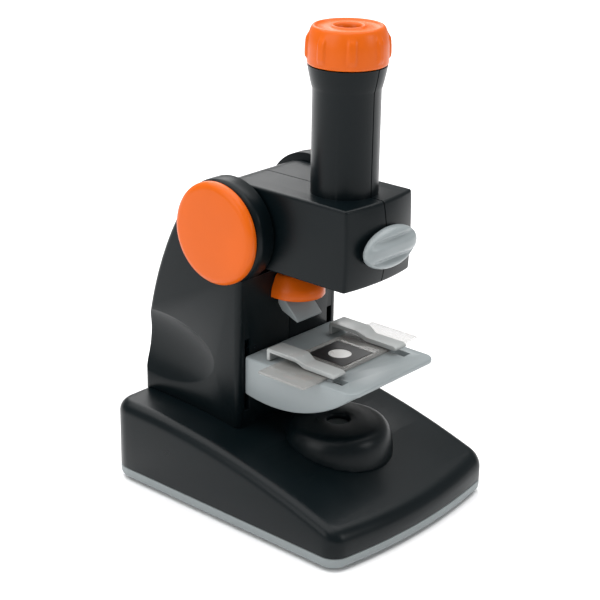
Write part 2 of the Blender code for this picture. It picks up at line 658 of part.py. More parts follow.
def make_selector(mats):
    """Drum with three objectives on a shaft that the oval front knob turns."""
    low, high = DRUM_Y
    hub = 4.0
    outer = [(0, -46.2), (hub, -46.2), (hub, low), (DRUM_RADIUS, low), (DRUM_RADIUS, high), (0, high)]
    drum = turned("objective_drum", outer, (0, DRUM_Z), mats["grey"], "Y", 24)
    hollow = [(0, low + 2.0), (DRUM_RADIUS - 3.0, low + 2.0), (DRUM_RADIUS - 3.0, high - 2.0),
              (0, high - 2.0)]
    cut(drum, turned("drum_hollow", hollow, (0, DRUM_Z), None, "Y", 20))
    for k in range(3):
        turn = math.radians(60 * (k - 1))
        way = rod(f"objective_way_{k}", (0, 0), 4.3, -25, 25, segments=14)
        way.rotation_euler = (0, turn, 0)
        way.location = (0, OPTIC_Y * MM, DRUM_Z * MM)
        cut(drum, way)
        lens = turned(f"objective_lens_{k + 1}",
                      [(0, -13.2), (4.0, -12.7), (4.0, -11.5), (0, -11.0)], (0, 0), mats["lens"], segments=12)
        lens.rotation_euler = (0, turn, 0)
        lens.location = (0, OPTIC_Y * MM, DRUM_Z * MM)
    knob = selector_knob(mats["grey"])
    cut(knob, rod("knob_socket", (0, DRUM_Z), 4.3, -46.5, -30, None, "Y", 14))


def selector_knob(mat):
    """Oval pinch knob: two scooped flutes either side of a middle rib, running along X."""
    half_x, half_z = 16.1, 8.6
    back = -43.6
    rings = []
    steps = 32
    for scale, depth in ((0.93, 0.0), (1.0, -1.0), (1.0, -2.8), (0.94, -3.9), (0.82, -4.6), (0.6, -5.1),
                         (0.3, -5.4)):
        ring = []
        for s in range(steps):
            angle = 2 * math.pi * s / steps
            x = half_x * scale * math.cos(angle)
            z = half_z * scale * math.sin(angle)
            groove = 0.0
            if scale < 0.9:
                fade = 1 - (x / half_x) ** 2
                groove = 1.6 * fade * math.exp(-((abs(z) - 3.8) / 1.8) ** 2)
            ring.append((x, back + depth + groove, DRUM_Z + z))
        rings.append(ring)
    return loft("selector_knob", rings, mat, origin=(0, back, DRUM_Z), smooth=50)


# ---------------------------------------------------------------- focus

def make_focus(mats):
    centre = (FOCUS_Y, FOCUS_Z)
    rod("focus_shaft", centre, SHAFT_RADIUS, -35.0, 35.0, mats["steel"], "X", 14, (0, FOCUS_Y, FOCUS_Z))
    for side in (-1, 1):
        tag = "right" if side > 0 else "left"
        profile = [(0, 32.3), (KNOB_RADIUS - 1.2, 32.3), (KNOB_RADIUS, 33.0), (KNOB_RADIUS, 33.8)]
        for k in range(1, 4):
            angle = math.pi / 2 * k / 3
            profile.append((KNOB_RADIUS - 3.4 * (1 - math.cos(angle)), 33.8 + 2.8 * math.sin(angle)))
        profile.append((0, KNOB_FACE_X))
        profile = [(r, side * x) for r, x in profile]
        knob = turned(f"focus_knob_{tag}", profile, centre, mats["orange"], "X", 36, (0, FOCUS_Y, FOCUS_Z))
        socket = sorted((side * 30.0, side * 35.3))
        cut(knob, rod(f"knob_bore_{tag}", centre, SHAFT_RADIUS + GAP, *socket, None, "X", 14))
        bore = SHAFT_RADIUS + RUNNING_FIT
        bush = [(bore, 25.8), (4.5, 25.8), (4.5, 29.4), (bore, 29.4)]
        bush = [(r, side * x) for r, x in bush]
        turned(f"shaft_bush_{tag}", bush, centre, mats["white"], "X", 20)
    outline = []
    for tooth in range(PINION_TEETH):
        middle = 360.0 / PINION_TEETH * tooth - 180.0
        for offset, radius in ((-10.5, 3.9), (-5.0, 5.35), (5.0, 5.35), (10.5, 3.9)):
            angle = math.radians(middle + offset)
            outline.append((FOCUS_Y + radius * math.cos(angle), FOCUS_Z + radius * math.sin(angle)))
    pinion = prism("focus_pinion", outline, -3.5, 3.5, mats["white"], "X", (0, FOCUS_Y, FOCUS_Z))
    cut(pinion, rod("pinion_bore", centre, SHAFT_RADIUS + GAP, -10, 10, None, "X", 14))


# ---------------------------------------------------------------- stage

def belly(y):
    return BELLY_Z - math.sqrt(BELLY_RADIUS ** 2 - (y - BELLY_Y) ** 2)


def stage_ring(inset, height):
    corner = 5.0
    half = STAGE_HALF
    centre = (half - corner, STAGE_FRONT_Y + corner)
    right = arc(centre, corner - inset, -90, 0, 5)
    right += [(half - inset, centre[1] + (STAGE_REAR_Y - centre[1]) * k / 8) for k in range(1, 9)]
    points = right + [(-x, y) for x, y in reversed(right)]
    return [(x, y, height(y) if callable(height) else height) for x, y in points]


def make_stage(mats):
    bm = bmesh.new()
    rings = [stage_ring(0.6, lambda y: min(belly(y), 64.9)), stage_ring(0, lambda y: min(belly(y) + 0.6, 65.3)),
             stage_ring(0, STAGE_TOP_Z - 0.8), stage_ring(0.25, STAGE_TOP_Z - 0.25),
             stage_ring(0.8, STAGE_TOP_Z)]
    loops = [[bm.verts.new(p) for p in ring] for ring in rings]
    for lower, upper in zip(loops, loops[1:]):
        skin(bm, lower, upper)
    roof_faces(bm, loops[0])
    bm.faces.new(loops[-1])
    stage = finish_object("stage", bm, mats["grey"])
    ceiling = STAGE_TOP_Z - STAGE_PLATE
    cut(stage, box("stage_hollow", (-25.8, -44.0, 40), (25.8, 5.8, ceiling)))
    cut(stage, rod("light_hole", (0, OPTIC_Y), 8.5, 55, 70, segments=24))
    for side in (-1, 1):
        low, high = sorted((side * 18.3, side * 22.8))
        cut(stage, box(f"clip_window_{side}", (low, -40.6, 55), (high, -32.2, 75)))
    make_carriage(mats)


def make_carriage(mats):
    """Moulded bracket behind the front wall with the focus rack standing on it."""
    front, back = 11.5, 13.7
    carriage = box("stage_carriage", (-28.0, front, 51.0), (28.0, back, 65.0), mats["black"])
    pitch = 2 * math.pi * PITCH_RADIUS / PINION_TEETH
    root = FOCUS_Y - PITCH_RADIUS - 0.9
    tip = FOCUS_Y - PITCH_RADIUS + 0.45
    outline = [(front, 55.0), (root, 55.0)]
    base_z = FOCUS_Z - 9.5 * pitch
    for k in range(13):
        middle = base_z + k * pitch
        for offset, y in ((-0.75, root), (-0.35, tip), (0.35, tip), (0.75, root)):
            if middle + offset < 129.4:
                outline.append((y, middle + offset))
    outline += [(root, 129.5), (front, 129.5)]
    join(carriage, prism("rack", outline, -3.5, 3.5, None, "X"))
    for side in (-1, 1):
        low, high = sorted((side * 25.6, side * 27.6))
        join(carriage, box(f"stage_arm_{side}", (low, STAGE_REAR_Y + GAP, 51.5), (high, front + 1, 64.5)))


def make_stage_fittings(mats):
    for side in (-1, 1):
        tag = "right" if side > 0 else "left"
        outline = [(-1.2, 67.4), (-1.2, 72.1), (-2.0, 72.9), (-16.0, 72.9), (-17.6, 72.5), (-20.4, 71.2),
                   (-21.8, 70.9), (-36.0, 70.9), (-37.4, 70.2), (-37.6, 69.4), (-36.8, 68.8), (-22.0, 68.8),
                   (-20.6, 69.1), (-16.8, 71.1), (-3.0, 71.1), (-3.0, 67.4)]
        low, high = sorted((side * (CLIP_X - CLIP_REAR_HALF), side * (CLIP_X + CLIP_REAR_HALF)))
        clip = prism(f"stage_clip_{tag}", outline, low, high, mats["grey"], "X", (0, -1.2, 67.4))
        for vertex in clip.data.vertices:
            if vertex.co.y < -17.0 * MM:
                middle = side * CLIP_X * MM
                vertex.co.x = middle + (vertex.co.x - middle) * CLIP_TIP_HALF / CLIP_REAR_HALF
    half_x, half_y = SLIDE_SIZE[0] / 2, SLIDE_SIZE[1] / 2
    low_z = STAGE_TOP_Z + GAP
    slide = box("specimen_slide", (-half_x, OPTIC_Y - half_y, low_z),
                (half_x, OPTIC_Y + half_y, low_z + SLIDE_SIZE[2]), mats["glass"])
    pocket = MASK_HALF + GAP
    cut(slide, box("mask_pocket", (-pocket, OPTIC_Y - pocket, low_z + 0.5), (pocket, OPTIC_Y + pocket, 75)))
    mask_z = low_z + 0.8
    mask = box("specimen_mask", (-MASK_HALF, OPTIC_Y - MASK_HALF, mask_z),
               (MASK_HALF, OPTIC_Y + MASK_HALF, mask_z + 0.25), mats["ink"])
    cut(mask, rod("mask_window", (0, OPTIC_Y), MASK_WINDOW, 60, 80, segments=20))


# ---------------------------------------------------------------- top lamp

def visor_ring(half, front_y, z, rear_y):
    """D-shaped ring: straight against the wall, half an ellipse in front."""
    turn_y = rear_y - 3.5
    points = [(half, rear_y)]
    for k in range(11):
        angle = math.pi * k / 10
        points.append((half * math.cos(angle), turn_y - (turn_y - front_y) * math.sin(angle)))
    points.append((-half, rear_y))
    return [(x, y, z) for x, y in points]


def make_top_lamp(mats):
    rear = PILLAR_FRONT_Y - GAP
    outer = [(8.4, -0.6, 99.9), (9.4, -2.2, 98.8), (11.0, -5.6, 95.4), (11.7, -7.2, 93.9), (12.1, -8.0, 92.3),
             (12.2, -8.1, 89.7)]
    inner = [(10.8, -6.7, 89.7), (10.6, -6.4, 92.3), (9.4, -4.0, 95.0), (7.6, -0.8, 97.6)]
    rings = [visor_ring(half, front, z, rear) for half, front, z in outer]
    rings += [visor_ring(half, front, z, rear - 1.3) for half, front, z in inner]
    hood = loft("top_lamp_hood", rings, mats["orange"])
    cut(hood, box("hood_notch", (-8.2, 4.0, 80), (8.2, 12, 91.9)))
    profile = [(rear, 86.0), (rear, 91.6), (7.2, 91.6), (-3.5, 80.6), (-3.5, 79.8), (-2.9, 79.6), (5.6, 82.9)]
    shroud = prism("top_lamp_shroud", profile, -7.9, 7.9, mats["grey"], "X")
    pocket = [(6.7, 70.0), (6.7, 89.4), (5.9, 88.8), (-1.6, 81.1), (-1.6, 70.0)]
    cut(shroud, prism("shroud_pocket", pocket, -6.6, 6.6, None, "X"))
    led = [(0, -2.0), (1.2, -2.0), (1.2, 1.0), (0.8, 1.8), (0, 2.1)]
    diode = turned("top_lamp_led", led, (0, 0), mats["led"], segments=10)
    aim = Vector((0, -0.775, -0.632))
    diode.rotation_euler = aim.to_track_quat("Z", "Y").to_euler()
    diode.location = (0, 4.3 * MM, 84.6 * MM)


def build():
    clear_scene()
    mats = {
        "black": make_material("black_plastic", (0.020, 0.021, 0.024), 0.42),
        "orange": make_material("orange_plastic", (0.85, 0.13, 0.015), 0.35),
        "grey": make_material("grey_plastic", (0.42, 0.44, 0.45), 0.45),
        "tray": make_material("tray_plastic", (0.36, 0.38, 0.39), 0.5),
        "white": make_material("white_plastic", (0.8, 0.8, 0.78), 0.45),
        "rubber": make_material("foot_rubber", (0.03, 0.03, 0.03), 0.85),
        "steel": make_material("screw_steel", (0.55, 0.55, 0.56), 0.35, 1.0),
        "contact": make_material("contact_metal", (0.7, 0.68, 0.6), 0.3, 1.0),
        "cell": make_material("cell_jacket", (0.1, 0.12, 0.2), 0.4, 0.3),
        "lens": make_material("clear_lens", (0.95, 0.97, 0.97), 0.05, 0.0, 1.0),
        "glass": make_material("slide_glass", (0.93, 0.95, 0.94), 0.04, 0.0, 1.0),
        "ink": make_material("mask_ink", (0.01, 0.01, 0.01), 0.5),
        "board": make_material("circuit_board", (0.02, 0.2, 0.08), 0.5),
        "led": make_material("led_epoxy", (0.9, 0.9, 0.8), 0.15, 0.0, 0.6),
    }
    make_base_shell(mats["black"])
    make_base_tray(mats["tray"])
    make_base_hardware(mats)
    make_lamp(mats)
    make_pillar(mats)
    make_head(mats)
    make_eyepiece(mats)
    make_selector(mats)
    make_focus(mats)
    make_stage(mats)
    make_stage_fittings(mats)
    make_top_lamp(mats)


build()
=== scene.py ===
"""Looks of the kids microscope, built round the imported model."""
import json
import math

import bmesh
import bpy
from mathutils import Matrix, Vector


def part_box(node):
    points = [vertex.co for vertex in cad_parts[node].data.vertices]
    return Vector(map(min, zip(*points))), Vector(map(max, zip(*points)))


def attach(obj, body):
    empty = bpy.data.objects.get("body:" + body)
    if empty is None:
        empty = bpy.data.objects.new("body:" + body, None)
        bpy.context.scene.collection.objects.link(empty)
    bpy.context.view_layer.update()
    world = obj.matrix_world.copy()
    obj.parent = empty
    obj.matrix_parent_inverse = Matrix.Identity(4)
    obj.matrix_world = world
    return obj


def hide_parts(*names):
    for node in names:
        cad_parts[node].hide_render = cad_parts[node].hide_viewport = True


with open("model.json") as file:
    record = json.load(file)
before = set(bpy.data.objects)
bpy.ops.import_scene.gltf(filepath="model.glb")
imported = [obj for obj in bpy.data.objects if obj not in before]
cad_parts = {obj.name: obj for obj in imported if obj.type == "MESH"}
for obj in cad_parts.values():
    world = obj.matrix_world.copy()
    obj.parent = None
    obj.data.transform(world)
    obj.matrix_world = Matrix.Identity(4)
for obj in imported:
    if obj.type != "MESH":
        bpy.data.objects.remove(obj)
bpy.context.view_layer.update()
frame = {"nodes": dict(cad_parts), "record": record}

MM = 0.001
GAP = 0.3
WALL = 2.2


# ------------------------------------------------------------ places taken from the frame

def span(node):
    low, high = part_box(node)
    return Vector(low) / MM, Vector(high) / MM


def middle(node):
    low, high = span(node)
    return (low + high) / 2


BASE_LOW, BASE_HIGH = span("base_shell")
TRAY_LOW = span("base_tray")[0]
STAGE_LOW, STAGE_HIGH = span("stage")
OPTIC_Y = middle("eyepiece_cap").y
FOCUS_Y = middle("focus_shaft").y
FOCUS_Z = middle("focus_shaft").z
DRUM_Z = middle("selector_knob").z

BASE_HALF_WIDTH = BASE_HIGH.x
BASE_FRONT_Y = BASE_LOW.y
BASE_REAR_Y = BASE_HIGH.y
SHELL_BOTTOM_Z = 6.1
TRAY_BOTTOM_Z = TRAY_LOW.z
TRAY_TOP_Z = SHELL_BOTTOM_Z - GAP
BASE_FRONT_ARC = 253.0
FRONT_CORNER = 8.0
REAR_CORNER = 10.0
BASE_EDGE_ROUND = 5.5
BASE_PEAK_Y = 54.5
BASE_PEAK_Z = 37.3
BASE_CURVE = 0.001486

DOME_RADIUS = 24.0
DOME_TOP_Z = 37.9
DOME_HOLE = 5.1

PILLAR_HALF = 32.0
PILLAR_FRONT_Y = 8.3
PILLAR_REAR_Y = 66.0
PILLAR_BEND_Z = 43.0
PILLAR_EDGE_ROUND = 2.8
EAR_RADIUS = 22.5
EAR_INNER_X = 23.2
SADDLE_RADIUS = 21.0
SADDLE_REAR_Z = 116.0

HEAD_HALF = 21.2
HEAD_FRONT_Y = -38.9
HEAD_TOP_Z = 140.3
HEAD_BOTTOM_Z = 105.6
KNUCKLE_RADIUS = 19.5
TUBE_RADIUS = 13.9
TUBE_BORE = 11.7
FLARE_Z = 183.0
TUBE_TOP_Z = 192.6
FLARE_RADIUS = 16.1
NECK_RADIUS = 13.1
NECK_TOP_Z = 198.8
SEAM = 0.27                  # half of the dark line between the head halves

KNOB_RADIUS = 22.0
KNOB_FACE_X = 36.8

STAGE_HALF = STAGE_HIGH.x
STAGE_FRONT_Y = STAGE_LOW.y
STAGE_REAR_Y = STAGE_HIGH.y
STAGE_TOP_Z = STAGE_HIGH.z
STAGE_PLATE = 2.2
BELLY_RADIUS = 65.4
BELLY_Y = -6.0
BELLY_Z = 113.8

BASE_SCREWS = [(-41, -50), (41, -50), (-41, 50), (41, 50)]
FEET = [(-38, -36), (38, -36), (-38, 36), (38, 36)]
DOOR_SCREW = (0, 61)
PILLAR_SCREWS = [(57.0, 60.0), (24.0, 52.0), (46.0, 94.0)]
HEAD_SCREWS = [(1.5, 133.0), (0.5, 111.5), (31.0, FOCUS_Z)]


# ------------------------------------------------------------ mesh helpers (millimetres)

def raw_object(name, bm):
    bmesh.ops.recalc_face_normals(bm, faces=bm.faces)
    bmesh.ops.scale(bm, vec=(MM, MM, MM), verts=bm.verts)
    mesh = bpy.data.meshes.new(name)
    bm.to_mesh(mesh)
    bm.free()
    obj = bpy.data.objects.new(name, mesh)
    bpy.context.scene.collection.objects.link(obj)
    return obj


def skin(bm, lower, upper):
    count = len(lower)
    for i in range(count):
        j = (i + 1) % count
        bm.faces.new((lower[i], lower[j], upper[j], upper[i]))


def roof_faces(bm, ring):
    count = len(ring)
    shift = 0 if abs(ring[0].co.x) < 1e-6 else 1
    for i in range(count // 2):
        a, b = ring[i], ring[i + 1]
        c, d = ring[(count - shift - i - 1) % count], ring[(count - shift - i) % count]
        corners = list(dict.fromkeys((a, b, c, d)))
        if len(corners) > 2:
            bm.faces.new(corners)


def loft(name, rings, closed=False):
    bm = bmesh.new()
    loops = [[bm.verts.new(point) for point in ring] for ring in rings]
    pairs = list(zip(loops, loops[1:]))
    if closed:
        pairs.append((loops[-1], loops[0]))
    for lower, upper in pairs:
        skin(bm, lower, upper)
    if not closed:
        bm.faces.new(loops[0])
        bm.faces.new(loops[-1])
    return raw_object(name, bm)


def prism(name, outline, low, high, axis="Z"):
    def place(point, level):
        u, v = point
        return {"X": (level, u, v), "Y": (u, level, v), "Z": (u, v, level)}[axis]
    return loft(name, [[place(point, level) for point in outline] for level in (low, high)])


def box(name, low, high):
    outline = [(low[0], low[1]), (high[0], low[1]), (high[0], high[1]), (low[0], high[1])]
    return prism(name, outline, low[2], high[2])


def turn_point(centre, u, v, level, axis):
    if axis == "X":
        return (level, centre[0] + u, centre[1] + v)
    if axis == "Y":
        return (centre[0] + u, level, centre[1] + v)
    return (centre[0] + u, centre[1] + v, level)


def turned(name, profile, centre, axis="Z", segments=72, phase=0.0):
    on_axis = profile[0][0] == 0 and profile[-1][0] == 0
    bm = bmesh.new()
    columns, poles = [], {}
    for s in range(segments):
        angle = 2 * math.pi * (s + phase) / segments
        column = []
        for index, (radius, level) in enumerate(profile):
            if radius == 0:
                if index not in poles:
                    poles[index] = bm.verts.new(turn_point(centre, 0, 0, level, axis))
                column.append(poles[index])
                continue
            offset = (radius * math.cos(angle), radius * math.sin(angle))
            column.append(bm.verts.new(turn_point(centre, *offset, level, axis)))
        columns.append(column)
    steps = len(profile) - 1 if on_axis else len(profile)
    for s in range(segments):
        left, right = columns[s], columns[(s + 1) % segments]
        for k in range(steps):
            m = (k + 1) % len(profile)
            bm.faces.new(list(dict.fromkeys([left[k], right[k], right[m], left[m]])))
    return raw_object(name, bm)


def rod(name, centre, radius, low, high, axis="Z", segments=40, phase=0.0):
    return turned(name, [(0, low), (radius, low), (radius, high), (0, high)], centre, axis, segments, phase)


def arc(centre, radius, start, end, steps):
    points = []
    for k in range(steps + 1):
        angle = math.radians(start + (end - start) * k / steps)
        points.append((centre[0] + radius * math.cos(angle), centre[1] + radius * math.sin(angle)))
    return points


def bake_modifiers(obj):
    graph = bpy.context.evaluated_depsgraph_get()
    mesh = bpy.data.meshes.new_from_object(obj.evaluated_get(graph))
    old = obj.data
    obj.modifiers.clear()
    obj.data = mesh
    bpy.data.meshes.remove(old)


def combine(obj, cuts=(), joins=()):
    """Apply unions, then cuts, as exact Booleans and drop the tools."""
    tools = [(tool, "UNION") for tool in joins] + [(tool, "DIFFERENCE") for tool in cuts]
    for tool, operation in tools:
        mod = obj.modifiers.new("op", "BOOLEAN")
        mod.operation = operation
        mod.solver = "EXACT"
        mod.object = tool
    bake_modifiers(obj)
    for tool, _ in tools:
        mesh = tool.data
        bpy.data.objects.remove(tool, do_unlink=True)
        bpy.data.meshes.remove(mesh)
    return obj


def bevel(obj, width=0.4, angle=32, segments=2):
    mod = obj.modifiers.new("edges", "BEVEL")
    mod.width = width * MM
    mod.segments = segments
    mod.limit_method = "ANGLE"
    mod.angle_limit = math.radians(angle)
    mod.use_clamp_overlap = True
    mod.harden_normals = False
    mod.miter_outer = "MITER_ARC"
    bake_modifiers(obj)
    return obj


def finish(obj, material, body, replaced=(), smooth=35):
    mesh = obj.data
    mesh.shade_smooth()
    mesh.set_sharp_from_angle(angle=math.radians(smooth))
    mesh.materials.clear()
    mesh.materials.append(material)
    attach(obj, body)
    if replaced:
        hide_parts(*replaced)
    return obj


# ------------------------------------------------------------ materials

def plastic(name, colour, rough, grain=900.0, bump=0.12, spread=0.05, tint=0.12, specular=0.5,
            coat=0.0, metallic=0.0, streak=None):
    """Moulded plastic or metal: fine texture in the bump, uneven gloss, slight tone changes and scuffs."""
    mat = bpy.data.materials.new(name)
    mat.use_nodes = True
    tree = mat.node_tree
    shader = tree.nodes["Principled BSDF"]
    shader.inputs["Metallic"].default_value = metallic
    shader.inputs["Specular IOR Level"].default_value = specular
    shader.inputs["Coat Weight"].default_value = coat
    shader.inputs["Coat Roughness"].default_value = 0.12
    coord = tree.nodes.new("ShaderNodeTexCoord")
    place = tree.nodes.new("ShaderNodeMapping")
    if streak:
        place.inputs["Scale"].default_value = streak
    tree.links.new(coord.outputs["Object"], place.inputs["Vector"])

    def noise(scale, detail, rough_value=0.55):
        node = tree.nodes.new("ShaderNodeTexNoise")
        node.inputs["Scale"].default_value = scale
        node.inputs["Detail"].default_value = detail
        node.inputs["Roughness"].default_value = rough_value
        tree.links.new(place.outputs["Vector"], node.inputs["Vector"])
        return node

    def ramp(source, low, high, out_low, out_high):
        node = tree.nodes.new("ShaderNodeMapRange")
        node.inputs["From Min"].default_value = low
        node.inputs["From Max"].default_value = high
        node.inputs["To Min"].default_value = out_low
        node.inputs["To Max"].default_value = out_high
        tree.links.new(source, node.inputs["Value"])
        return node.outputs["Result"]

    cloud = noise(38.0, 4.0)
    scuff = noise(260.0, 6.0, 0.7)
    fine = noise(grain * 3.0, 3.0)
    tone = tree.nodes.new("ShaderNodeMix")
    tone.data_type = "RGBA"
    tone.inputs["A"].default_value = (*[c * (1 - tint) for c in colour], 1)
    tone.inputs["B"].default_value = (*[min(1, c * (1 + tint)) for c in colour], 1)
    tree.links.new(ramp(cloud.outputs["Fac"], 0.3, 0.7, 0.0, 1.0), tone.inputs["Factor"])
    tree.links.new(tone.outputs["Result"], shader.inputs["Base Color"])
    gloss = tree.nodes.new("ShaderNodeMath")
    gloss.operation = "ADD"
    tree.links.new(ramp(cloud.outputs["Fac"], 0.25, 0.75, rough - spread, rough + spread), gloss.inputs[0])
    tree.links.new(ramp(scuff.outputs["Fac"], 0.55, 0.8, 0.0, spread * 1.6), gloss.inputs[1])
    tree.links.new(gloss.outputs["Value"], shader.inputs["Roughness"])
    relief = tree.nodes.new("ShaderNodeBump")
    relief.inputs["Strength"].default_value = bump
    relief.inputs["Distance"].default_value = 0.0002
    tree.links.new(fine.outputs["Fac"], relief.inputs["Height"])
    tree.links.new(relief.outputs["Normal"], shader.inputs["Normal"])
    return mat


def clear(name, colour, rough, ior, spread=0.02, alpha=1.0):
    """Clear moulded plastic or glass with faint handling marks in its gloss."""
    mat = plastic(name, colour, rough, 200.0, 0.02, spread, 0.015)
    shader = mat.node_tree.nodes["Principled BSDF"]
    shader.inputs["Transmission Weight"].default_value = 1.0
    shader.inputs["IOR"].default_value = ior
    shader.inputs["Alpha"].default_value = alpha
    return mat


BLACK = plastic("black_shell", (0.0020, 0.0044, 0.0055), 0.30, 1100, 0.14, 0.035, 0.10, 0.15)
DARK = plastic("black_inner", (0.010, 0.011, 0.013), 0.52, 900, 0.2, 0.06, 0.12, 0.4)
ORANGE = plastic("orange_shell", (0.60, 0.100, 0.003), 0.30, 1000, 0.06, 0.015, 0.03, 0.20)
GREY = plastic("grey_shell", (0.235, 0.263, 0.270), 0.32, 1000, 0.10, 0.05, 0.035, 0.40)
CLIP_GREY = plastic("grey_clip", (0.34, 0.355, 0.350), 0.25, 1000, 0.06, 0.02, 0.03, 0.45)
TRAY = plastic("grey_tray", (0.21, 0.235, 0.24), 0.48, 1000, 0.18, 0.05, 0.05, 0.45)
WHITE = plastic("white_acetal", (0.78, 0.78, 0.75), 0.42, 900, 0.1, 0.05, 0.03)
RUBBER = plastic("foot_rubber", (0.022, 0.022, 0.023), 0.82, 700, 0.4, 0.06, 0.2, 0.3)
STEEL = plastic("screw_steel", (0.56, 0.56, 0.57), 0.30, 700, 0.08, 0.08, 0.08, 0.5, 0.0, 1.0)
SHAFT = plastic("shaft_steel", (0.62, 0.62, 0.63), 0.25, 500, 0.1, 0.06, 0.05, 0.5, 0.0, 1.0, (12, 1, 1))
CONTACT = plastic("contact_strip", (0.70, 0.67, 0.58), 0.28, 600, 0.1, 0.06, 0.05, 0.5, 0.0, 1.0)
CELL = plastic("cell_jacket", (0.035, 0.06, 0.16), 0.32, 500, 0.04, 0.05, 0.1, 0.5, 0.3)
BOARD = plastic("circuit_board", (0.012, 0.12, 0.04), 0.35, 500, 0.2, 0.06, 0.15, 0.5, 0.3)
INK = plastic("mask_ink", (0.008, 0.008, 0.009), 0.42, 500, 0.05, 0.06, 0.15)
PAPER = plastic("window_film", (0.80, 0.80, 0.78), 0.30, 400, 0.05, 0.05, 0.03)
LENS = clear("clear_lens", (0.97, 0.985, 0.98), 0.02, 1.49, 0.012)
SLIDE = plastic("clear_slide", (0.36, 0.352, 0.335), 0.12, 400, 0.03, 0.03, 0.02)
SLIDE.node_tree.nodes["Principled BSDF"].inputs["Alpha"].default_value = 0.42
LED = clear("led_epoxy", (0.95, 0.95, 0.88), 0.12, 1.5, 0.03)
FROST = plastic("lamp_frost", (0.09, 0.10, 0.10), 0.35, 500, 0.1, 0.06, 0.05)


# ------------------------------------------------------------ base

def base_half_outline(inset):
    half = BASE_HALF_WIDTH
    front_y = BASE_FRONT_Y + BASE_FRONT_ARC
    corner_x = half - FRONT_CORNER
    reach = BASE_FRONT_ARC - FRONT_CORNER
    corner_y = front_y - math.sqrt(reach ** 2 - corner_x ** 2)
    lean = math.degrees(math.asin(corner_x / reach))
    front = arc((0, front_y), BASE_FRONT_ARC - inset, -90, -90 + lean, 14)[:-1]
    corner = arc((corner_x, corner_y), FRONT_CORNER - inset, -90 + lean, 0, 9)
    rear_centre = (half - REAR_CORNER, BASE_REAR_Y - REAR_CORNER)
    side = [(half - inset, corner_y + (rear_centre[1] - corner_y) * k / 24) for k in range(1, 24)]
    return front + corner + side + arc(rear_centre, REAR_CORNER - inset, 0, 90, 9)


def base_ring(inset, height):
    half = base_half_outline(inset)
    points = half + [(-x, y) for x, y in reversed(half[1:])]
    return [(x, y, height(y) if callable(height) else height) for x, y in points]


def base_top(y):
    return BASE_PEAK_Z - BASE_CURVE * (y - BASE_PEAK_Y) ** 2


def base_surface(y):
    start = BASE_REAR_Y - BASE_EDGE_ROUND
    if y <= start:
        return base_top(y)
    along = (y - start) / BASE_EDGE_ROUND
    return base_top(y) - BASE_EDGE_ROUND * (1 - math.sqrt(1 - along ** 2))


def wedge_loops(bm, inset, bottom, lift):
    radius = BASE_EDGE_ROUND - inset
    rings = [base_ring(inset, bottom)]
    steps = 12
    for k in range(steps + 1):
        angle = math.pi / 2 * k / steps
        step = inset + radius * (1 - math.cos(angle))
        drop = inset + radius * (1 - math.sin(angle))
        rings.append(base_ring(step, lambda y, drop=drop: base_top(y) - drop + lift))
    loops = [[bm.verts.new(p) for p in ring] for ring in rings]
    for lower, upper in zip(loops, loops[1:]):
        skin(bm, lower, upper)
    roof_faces(bm, loops[-1])
    return loops


def wedge_volume(bottom, lift):
    bm = bmesh.new()
    loops = wedge_loops(bm, 0, bottom, lift)
    bm.faces.new(loops[0])
    return raw_object("wedge", bm)


def base_shell():
    bm = bmesh.new()
    outer = wedge_loops(bm, 0, SHELL_BOTTOM_Z, 0)
    inner = wedge_loops(bm, WALL, SHELL_BOTTOM_Z, 0)
    skin(bm, outer[0], inner[0])
    shell = raw_object("base_cover", bm)
    combine(shell, [rod("a", (0, OPTIC_Y), 10.5, 10, 60),
                    box("b", (50.2, -8, 9.5), (55, 8, 16.5)),
                    box("c", (45, -5, 11.2), (55, 5, 14.8))])
    bevel(shell, 0.35, 40)
    return finish(shell, BLACK, "stand", ["base_shell"])


def base_tray():
    rings = [base_ring(2.1, TRAY_BOTTOM_Z), base_ring(1.2, TRAY_BOTTOM_Z + 0.25),
             base_ring(0.55, TRAY_BOTTOM_Z + 0.8), base_ring(0.15, TRAY_BOTTOM_Z + 1.6),
             base_ring(0.0, TRAY_BOTTOM_Z + 2.6), base_ring(0.0, TRAY_TOP_Z - 0.3),
             base_ring(0.25, TRAY_TOP_Z), base_ring(WALL + GAP, TRAY_TOP_Z),
             base_ring(WALL + GAP, TRAY_TOP_Z + 2.2), base_ring(WALL + GAP + 1.4, TRAY_TOP_Z + 2.2),
             base_ring(WALL + GAP + 1.4, 4.0)]
    tray = loft("base_underpan", rings)
    cuts = [box("a", (-18.2, 1.2, 0), (18.2, 64.3, 2.8)), box("b", (-16.3, 3.6, 0), (16.3, 57.4, 3.6))]
    cuts += [rod("c", at, 3.1, -1, 2.9) for at in BASE_SCREWS]
    cuts += [rod("d", at, 5.3, -1, 2.3) for at in FEET]
    combine(tray, cuts)
    bevel(tray, 0.25, 40)
    return finish(tray, TRAY, "stand", ["base_tray"])


def lamp_dome():
    rise = []
    for k in range(24):
        turn = math.pi / 2 * k / 24
        rise.append((DOME_RADIUS - 8.0 + 8.0 * math.cos(turn) ** 0.72,
                     22.5 + (DOME_TOP_Z - 22.5) * math.sin(turn) ** 0.78))
    profile = [(DOME_RADIUS, 12.0)] + rise + [(DOME_RADIUS - 8.0, DOME_TOP_Z)]
    profile += [(DOME_HOLE + 0.8, DOME_TOP_Z), (DOME_HOLE + 0.35, DOME_TOP_Z - 0.12),
                (DOME_HOLE + 0.1, DOME_TOP_Z - 0.4), (DOME_HOLE, DOME_TOP_Z - 0.9), (DOME_HOLE, 35.7)]
    profile += [(15.5, 35.7), (19.6, 32.0), (21.3, 26.0), (DOME_RADIUS - WALL, 12.0)]
    dome = turned("light_dome", profile, (0, OPTIC_Y), "Z", 128)
    combine(dome, [wedge_volume(2.0, GAP * 0.5)])
    bevel(dome, 0.3, 40)
    return finish(dome, BLACK, "stand", ["lamp_dome"])


